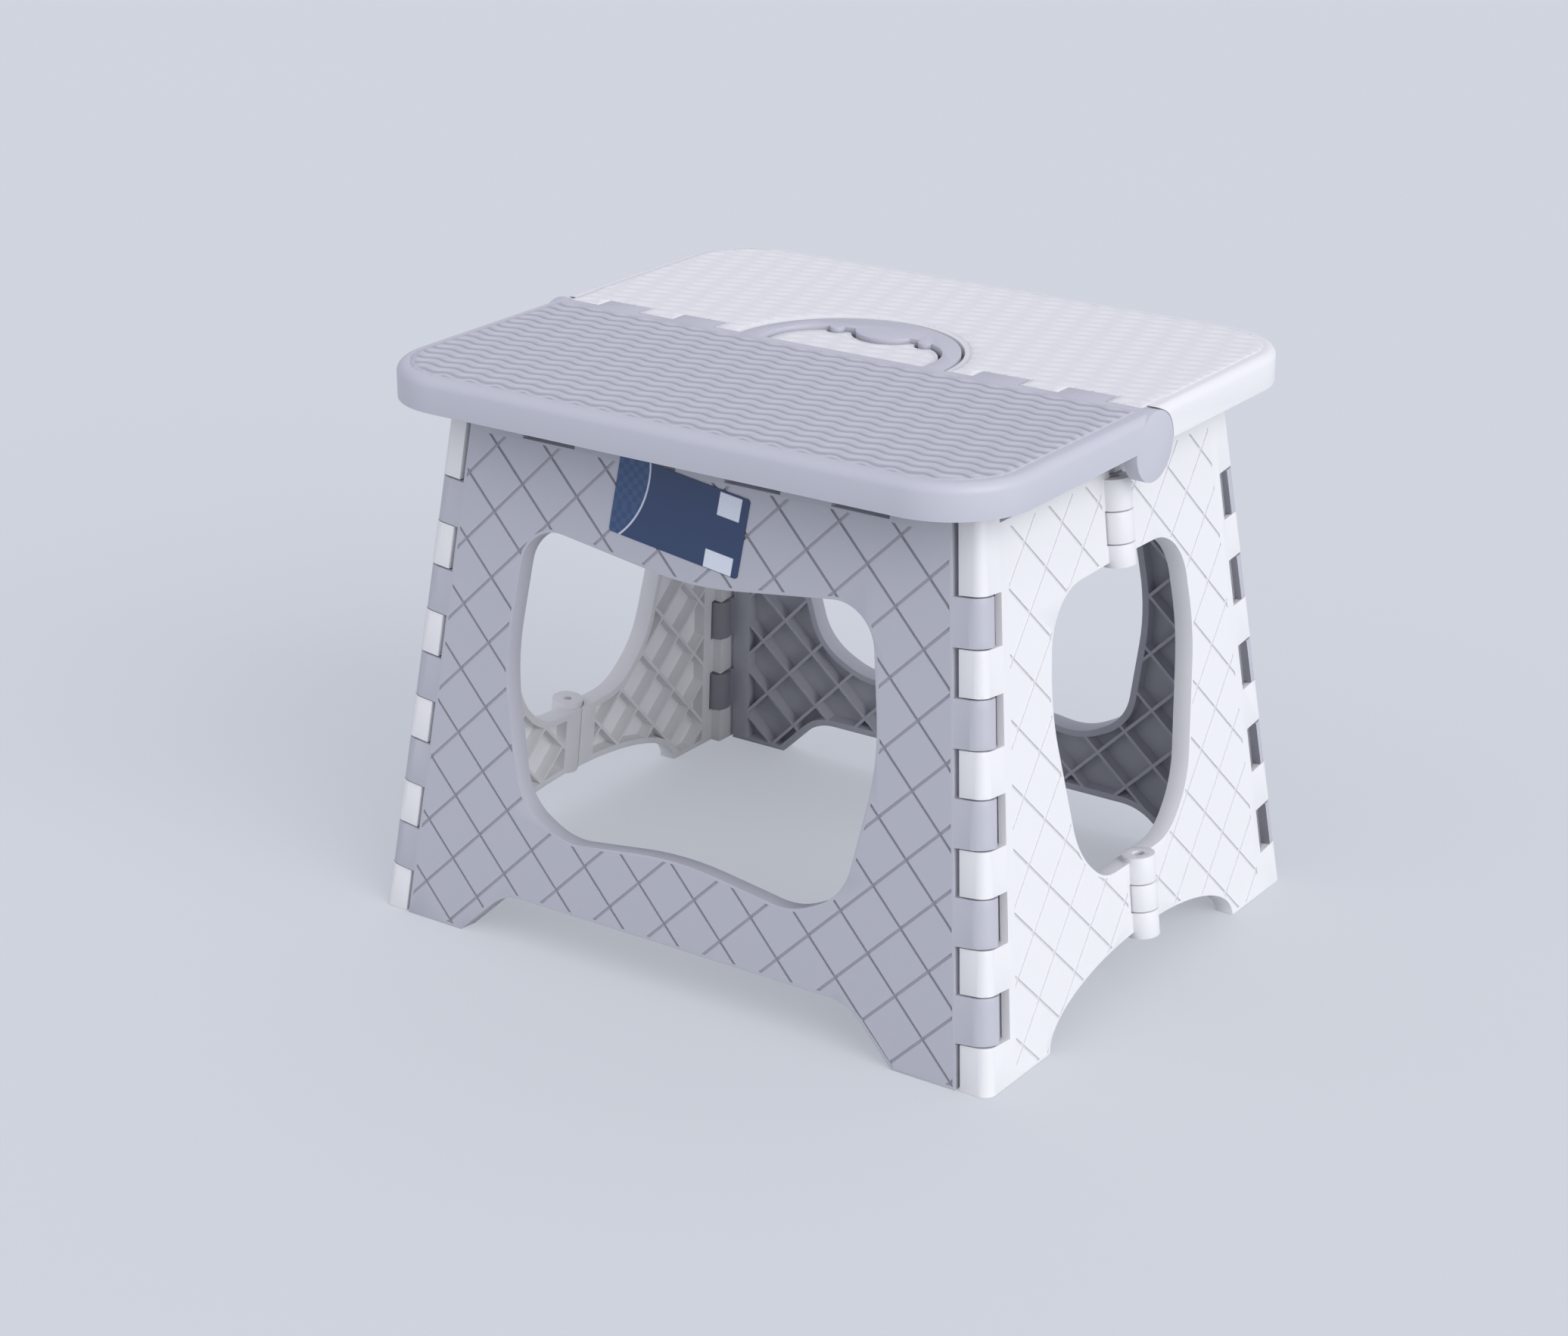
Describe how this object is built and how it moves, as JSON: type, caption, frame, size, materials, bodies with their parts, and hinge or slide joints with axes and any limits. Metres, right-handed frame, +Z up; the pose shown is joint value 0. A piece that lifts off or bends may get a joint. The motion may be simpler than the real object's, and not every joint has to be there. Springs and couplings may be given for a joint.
{
  "type": "folding step stool",
  "caption": "Folding plastic step stool: grey and white hinged seat halves with a carry handle, grey end panels with windows, and white side leaves that fold inwards on corner hinges.",
  "frame": {"origin": "centre of the stool's footprint on the floor", "axes": "+X along the stool, -Y towards the grey front panel with the sticker, +Z up"},
  "size_m": [0.3094, 0.25, 0.238],
  "materials": {
    "grey_plastic": "matt moulded polypropylene",
    "white_plastic": "matt moulded polypropylene",
    "steel": "plain drawn rod",
    "sticker": "printed film, left blank"
  },
  "bodies": {
    "back_panel": {"back_panel": "grey_plastic", "back_panel_rod": "steel", "corner_rod_back_left": "steel", "corner_rod_back_right": "steel"},
    "top_back": {"top_back": "white_plastic"},
    "left_back_leaf": {"left_back_leaf": "white_plastic", "left_pin_lower": "steel", "left_pin_upper": "steel"},
    "left_front_leaf": {"left_front_leaf": "white_plastic"},
    "front_panel": {"front_panel": "grey_plastic", "front_panel_rod": "steel", "corner_rod_front_left": "steel", "corner_rod_front_right": "steel", "label": "sticker"},
    "top_front": {"top_front": "grey_plastic", "seam_rod_left": "steel", "seam_rod_right": "steel"},
    "right_back_leaf": {"right_back_leaf": "white_plastic", "right_pin_lower": "steel", "right_pin_upper": "steel"},
    "right_front_leaf": {"right_front_leaf": "white_plastic"}
  },
  "joints": [
    {"name": "fold", "type": "hinge", "parent": "back_panel", "child": "top_back", "pos_m": [0, 0.08991, 0.221], "axis": [-1, 0, 0], "range_deg": [0, 71.4]},
    {"name": "left_back_corner", "type": "hinge", "parent": "back_panel", "child": "left_back_leaf", "pos_m": [-0.13089, 0.09766, 0.1], "axis": [0.1039, -0.1072, 0.9888], "range_deg": [0, 86.94]},
    {"name": "left_centre", "type": "hinge", "parent": "left_back_leaf", "child": "left_front_leaf", "pos_m": [-0.13899, 0, 0.1], "axis": [-0.1134, 0, -0.9936], "range_deg": [0, 172.63]},
    {"name": "left_front_corner", "type": "hinge", "parent": "left_front_leaf", "child": "front_panel", "pos_m": [-0.13089, -0.09766, 0.1], "axis": [0.1039, 0.1072, 0.9888], "range_deg": [0, 86.94]},
    {"name": "front_top", "type": "hinge", "parent": "front_panel", "child": "top_front", "pos_m": [0, -0.08991, 0.221], "axis": [1, 0, 0], "range_deg": [0, 71.4]},
    {"name": "right_back_corner", "type": "hinge", "parent": "back_panel", "child": "right_back_leaf", "pos_m": [0.13089, 0.09766, 0.1], "axis": [0.1039, 0.1072, -0.9888], "range_deg": [0, 86.94]},
    {"name": "right_front_corner", "type": "hinge", "parent": "front_panel", "child": "right_front_leaf", "pos_m": [0.13089, -0.09766, 0.1], "axis": [-0.1039, 0.1072, 0.9888], "range_deg": [0, 86.94]}
  ],
  "couplings": [
    {"joint": "left_back_corner", "follows": "fold", "ratio": 1.217},
    {"joint": "left_centre", "follows": "fold", "ratio": 2.4164},
    {"joint": "left_front_corner", "follows": "fold", "ratio": 1.217},
    {"joint": "front_top", "follows": "fold", "ratio": 1},
    {"joint": "right_back_corner", "follows": "fold", "ratio": 1.217},
    {"joint": "right_front_corner", "follows": "fold", "ratio": 1.217}
  ]
}
